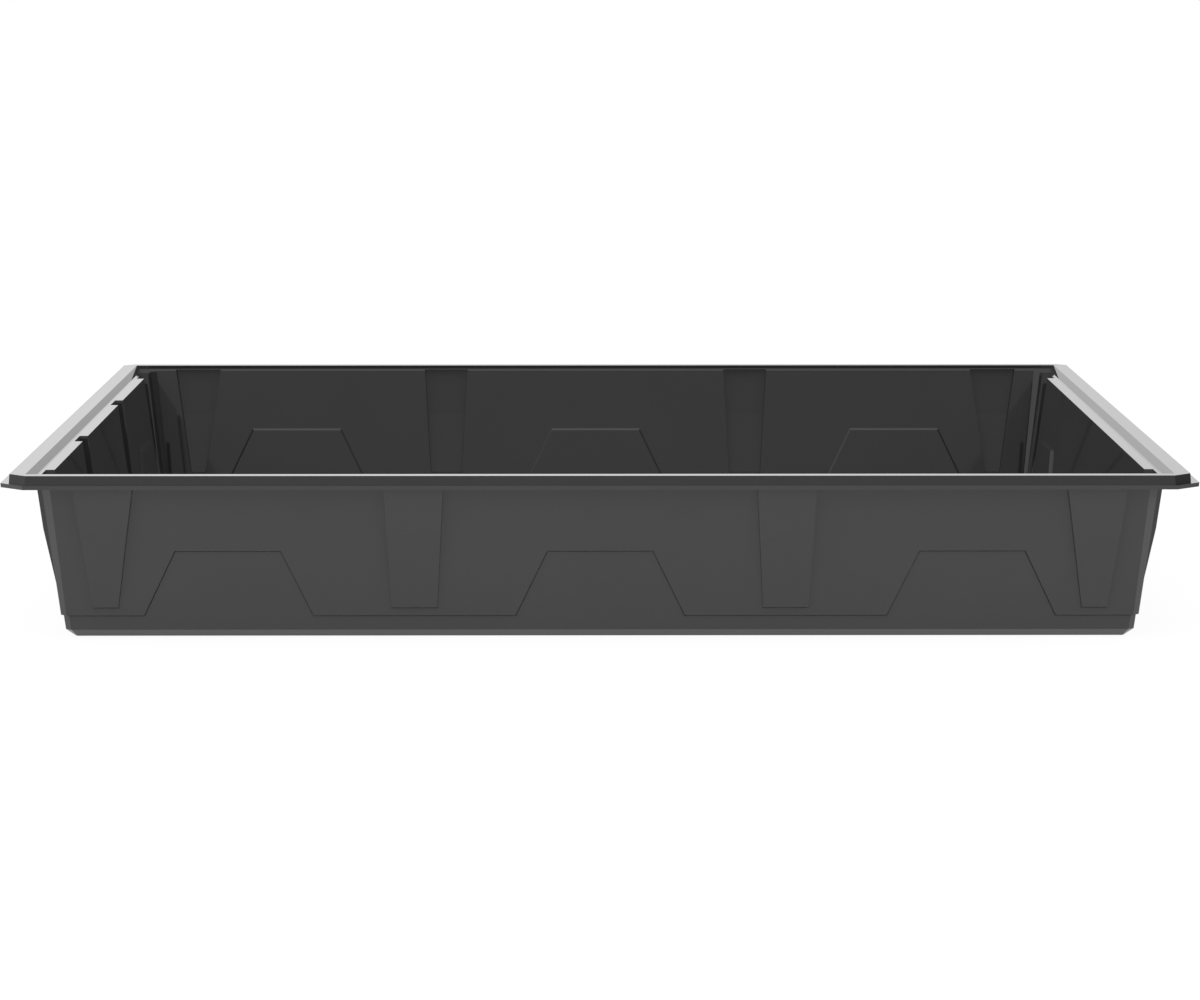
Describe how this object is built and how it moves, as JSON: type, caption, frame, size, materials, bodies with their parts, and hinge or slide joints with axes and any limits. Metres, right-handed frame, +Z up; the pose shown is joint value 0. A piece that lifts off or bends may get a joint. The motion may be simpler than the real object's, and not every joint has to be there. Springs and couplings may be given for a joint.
{
  "type": "hydroponic flood tray",
  "caption": "Shallow moulded black flood tray with a stepped rim, drafted ribbed walls, a channelled floor, and swivel drain and overflow elbows through one end.",
  "frame": {"origin": "middle of the tray's flat base", "axes": "+Z up, +X along the width towards the end with the fittings, front towards -Y"},
  "size_m": [1.2986, 1.2626, 0.1815],
  "materials": {
    "tray_plastic": "moulded satin black sheet",
    "bulkhead_plastic": "moulded satin black",
    "lock_nut_plastic": "moulded satin black",
    "elbow_plastic": "moulded satin dark grey",
    "screen_plastic": "moulded satin grey",
    "seal_rubber": "matt black rubber"
  },
  "bodies": {
    "tray": {"tray": "tray_plastic", "drain_bulkhead": "bulkhead_plastic", "drain_gasket": "seal_rubber", "drain_lock_nut": "lock_nut_plastic", "overflow_bulkhead": "bulkhead_plastic", "overflow_gasket": "seal_rubber", "overflow_lock_nut": "lock_nut_plastic"},
    "drain_elbow": {"drain_elbow": "elbow_plastic", "drain_elbow_seal": "seal_rubber"},
    "drain_screen": {"drain_screen": "screen_plastic"},
    "overflow_elbow": {"overflow_elbow": "elbow_plastic", "overflow_elbow_seal": "seal_rubber"},
    "overflow_screen": {"overflow_screen": "screen_plastic"}
  },
  "joints": [
    {"name": "drain_swivel", "type": "hinge", "parent": "tray", "child": "drain_elbow", "pos_m": [0.58304, -0.042, 0.045], "axis": [0.9925, 0, -0.1219], "range_deg": [-90, 90]},
    {"name": "drain_screen_pull", "type": "slide", "parent": "drain_elbow", "child": "drain_screen", "axis": [-0.1219, 0, -0.9925], "range_m": [0, 0.009]},
    {"name": "overflow_swivel", "type": "hinge", "parent": "tray", "child": "overflow_elbow", "pos_m": [0.58304, 0.042, 0.045], "axis": [0.9925, 0, -0.1219], "range_deg": [-90, 90]},
    {"name": "overflow_screen_pull", "type": "slide", "parent": "overflow_elbow", "child": "overflow_screen", "axis": [0.1219, 0, 0.9925], "range_m": [0, 0.009]}
  ]
}
